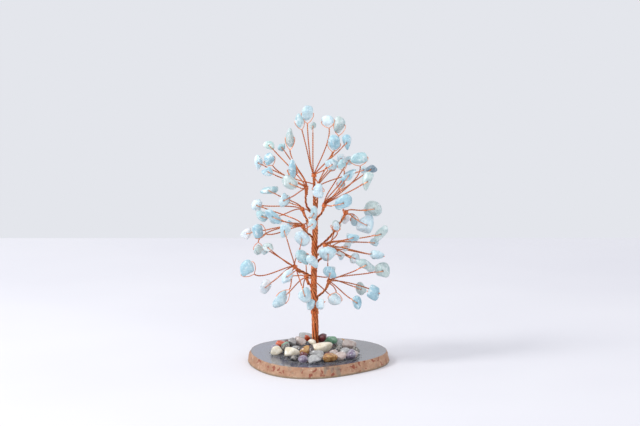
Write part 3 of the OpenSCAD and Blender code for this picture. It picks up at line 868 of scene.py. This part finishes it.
def build_slice(top_finish, rind):
    """The agate slice: a smooth polished top and a rough rind. Gives the height of its top."""
    points = node_solids("agate_slice")[0][0]
    height = points[:, 2].max()
    low_ring, high_ring = points[points[:, 2] < 0.5 * height], points[points[:, 2] > 0.5 * height]
    centre = low_ring[:, :2].mean(axis=0)
    foot, brow = outline(low_ring, centre), outline(high_ring, centre)
    columns = SLICE_COLUMNS
    turn = 2 * math.pi * np.arange(columns) / columns
    across = np.stack([np.cos(turn), np.sin(turn)], axis=1)
    radii, heights, rims = zip(*slice_rings(foot(turn), brow(turn), height))
    rows = np.array([
        np.column_stack([centre + radius[:, None] * across, np.full(columns, z)])
        for radius, z in zip(radii, heights)])

    hub, last = len(rows) * columns, (len(rows) - 1) * columns
    caps = np.concatenate([fan(hub, 0, columns), fan(hub + 1, last, columns, flipped=True)])
    shape = Shape()
    middles = [[*centre, height], [*centre, 0.0]]
    shape.add(np.concatenate([rows.reshape(-1, 3), middles]), ring_quads(len(rows), columns), caps)
    piece = shape.build("agate_slab", top_finish, rind)

    mesh = piece.data
    sideways = (rows[..., 0] - centre[0]) / brow(0)
    values = {
        "rim": (np.repeat(rims, columns), (0, 0)),
        "height": (np.repeat(heights, columns), (height, 0)),
        "across": (sideways.ravel(), (0, 0))}
    for name, (on_rings, on_middles) in values.items():
        data = np.concatenate([on_rings, on_middles]).astype(np.float32)
        mesh.attributes.new(name, "FLOAT", "POINT").data.foreach_set("value", data)
    brow_row = len(TOP_SHARES) - 1
    face = np.zeros(len(mesh.polygons), np.int32)
    face[brow_row * columns:last] = 1
    face[last + columns:] = 1
    mesh.polygons.foreach_set("material_index", face)
    ends = np.zeros(len(mesh.edges) * 2, np.int32)
    mesh.edges.foreach_get("vertices", ends)
    sharp = (ends.reshape(-1, 2) // columns == brow_row).all(axis=1)
    mesh.attributes.new("sharp_edge", "BOOLEAN", "EDGE").data.foreach_set("value", sharp)
    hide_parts("agate_slice")
    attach(piece, "base")
    return height


# Each kind of heap stone: its slot, its two tones, its dark flecks, and what sets it apart
HEAP_FINISHES = {
    "jasper": ("red_jasper", (186, 70, 44), (214, 104, 66), (120, 40, 30), {}),
    "cream": ("cream_stone", (222, 212, 188), (238, 231, 214), (188, 146, 90), {"grain": 2.0}),
    "quartz": ("grey_quartz", (200, 200, 200), (224, 224, 222), (150, 148, 146), {"transmission": 0.4}),
    "amethyst": ("amethyst", (148, 132, 158), (208, 202, 216), (96, 74, 100), {"transmission": 0.35}),
    "speckled": ("speckled_stone", (84, 82, 80), (160, 154, 146), (30, 28, 28), {"grain": 1.1}),
    "garnet": ("garnet", (92, 30, 38), (124, 48, 52), (50, 14, 20), {"transmission": 0.1}),
    "tiger_eye": ("tiger_eye", (150, 100, 52), (190, 148, 92), (78, 46, 26), {"cover": (0.45, 0.55)}),
    "aventurine": ("aventurine", (96, 146, 116), (134, 176, 146), (60, 104, 82), {"transmission": 0.15}),
    "rose": ("rose_stone", (212, 190, 182), (228, 216, 208), (172, 136, 128), {"transmission": 0.3})}

# How much larger a heap stone is here than in the frame, where a gap keeps it from its
# neighbours, how much it tilts, and how deep its flats are worn
HEAP_GROWTH = np.array([1.22, 1.22, 1.26])
HEAP_TILT = 0.18
HEAP_WEAR = {"flats": 8, "low": 0.55, "high": 0.84}


def build_heap():
    """The heap's stones, kind by kind. Gives the middles and radii that the glue follows."""
    spots = []
    for number, (kind, (slot, base, second, dark, extra)) in enumerate(HEAP_FINISHES.items()):
        shape = Shape()
        for i, (points, _) in enumerate(node_solids(kind + "_stones")):
            rng = np.random.default_rng(1000 * number + i)
            middle, axes, half = stone_frame(points, UP)
            lean = unit(UP + [*rng.normal(scale=HEAP_TILT, size=2), 0])
            a = unit(axes[0] - axes[0].dot(lean) * lean)
            axes = np.array([a, np.cross(lean, a), lean])
            stone = worn(BALL_POINTS, half * HEAP_GROWTH, rng, **HEAP_WEAR)
            lift = (HEAP_GROWTH[2] - 1) * half[2] * UP
            shape.add(stone @ axes + middle + lift, tris=BALL_TRIS)
            spots.append((middle[0], middle[1], (half[0] + half[1]) / 2))
        piece = shape.build("heap_" + kind, stone_finish(slot, base, second, dark, **extra))
        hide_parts(kind + "_stones")
        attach(piece, "base")
    return np.array(spots)


# How the glue follows the frame's bed near stones: how far from a stone it still clings, its
# lip round the outer stones, the bed's edge, how full it is above that, and how deep it dips
# under the slice's top where it ends
GLUE_REACH = 1.8
GLUE_LIP = 0.3
GLUE_EDGE = 0.4
GLUE_FULLNESS = 0.85
GLUE_DIP = 0.05


def build_glue(finish, slice_top, spots):
    """Clear glue that fills the heap and clings round its outer stones."""
    columns, rows = 120, 34
    bed = node_solids("glue_bed")[0][0]
    centre = (bed.max(axis=0) + bed.min(axis=0))[:2] / 2
    away = np.linalg.norm(bed[:, :2] - centre, axis=1)
    upper = bed[:, 2] > slice_top + 0.1
    order = np.argsort(away[upper])
    profile = away[upper][order], bed[upper, 2][order] - slice_top
    turn = 2 * math.pi * np.arange(columns) / columns
    out = np.linspace(0.03, 1, rows)[:, None] * profile[0][-1]
    x = centre[0] + out * np.cos(turn)
    y = centre[1] + out * np.sin(turn)
    gap = np.min([np.hypot(x - sx, y - sy) - r for sx, sy, r in spots], axis=0)
    cling = smoothstep(1 - gap / GLUE_REACH)
    fill = np.interp(out, *profile) - GLUE_EDGE
    rise = GLUE_FULLNESS * fill * cling + GLUE_LIP * cling - GLUE_DIP
    top = np.stack([x, y, slice_top + rise], axis=-1)
    points = np.concatenate([top.reshape(-1, 3), [[*centre, top[0, :, 2].mean()]]])
    shape = Shape()
    shape.add(points, ring_quads(rows, columns), fan(rows * columns, 0, columns))
    piece = shape.build("glue_pool", finish)
    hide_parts("glue_bed")
    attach(piece, "base")


# ---------------------------------------------------------------- floor, light and camera

def floor_finish():
    f = Finish("floor", roughness=0.75)
    f.colour(f.mix(f.remap(f.noise(160, 2), 0.3, 0.7), rgba((226, 225, 230)), rgba((231, 230, 234))))
    return f.material


def build_stage():
    """A pale table top whose far edge is a faint horizon, a pale backdrop and two softboxes."""
    near, far, wide, deep = -1200.0, 374.0, 1500.0, 20.0
    corners = [(-wide, near), (wide, near), (wide, far), (-wide, far)]
    points = np.array([(x, y, z) for z in (0.0, -deep) for x, y in corners])
    quads = [[0, 1, 2, 3], [4, 7, 6, 5], [0, 4, 5, 1], [1, 5, 6, 2], [2, 6, 7, 3], [3, 7, 4, 0]]
    shape = Shape()
    shape.add(points, quads)
    floor = shape.build("floor", floor_finish())
    floor.data.shade_flat()
    world = bpy.data.worlds.new("studio")
    bpy.context.scene.world = world
    world.use_nodes = True
    backdrop = world.node_tree.nodes["Background"]
    backdrop.inputs["Color"].default_value = rgba((228, 230, 236))
    backdrop.inputs["Strength"].default_value = 1.0
    softbox("key", (-0.74, -0.3, 0.82), 0.34, 6.5)
    softbox("front", (0.25, -1.0, 0.4), 0.9, 2.1)


def softbox(name, place, size, watts):
    """A round area light aimed at the lower half of the tree."""
    light = bpy.data.lights.new(name, "AREA")
    light.shape = "DISK"
    light.size = size
    light.energy = watts
    holder = bpy.data.objects.new(name, light)
    holder.location = place
    aim = Vector((0, 0, 0.06)) - holder.location
    holder.rotation_euler = aim.to_track_quat("-Z", "Y").to_euler()
    bpy.context.scene.collection.objects.link(holder)


def build_camera():
    camera = bpy.data.cameras.new("camera")
    camera.lens = 120
    camera.sensor_width = 36
    holder = bpy.data.objects.new("camera", camera)
    pitch = math.radians(9.0)
    distance = 1.067
    target = Vector((0.00275, 0, 0.0765))
    holder.location = target + distance * Vector((0, -math.cos(pitch), math.sin(pitch)))
    holder.rotation_euler = (math.pi / 2 - pitch, 0, 0)
    bpy.context.scene.collection.objects.link(holder)
    bpy.context.scene.camera = holder
    bpy.context.scene.view_settings.view_transform = "Standard"


copper = copper_finish()
aquamarine = aquamarine_finish()
build_camera()
build_stage()
build_trunk(copper)
for joint in frame["joints"]:
    bough = read_bough(joint)
    build_stem(bough, copper)
    build_leaves(bough, copper, aquamarine)
slice_top = build_slice(agate_top_finish(), rind_finish())
build_glue(glue_finish(), slice_top, build_heap())
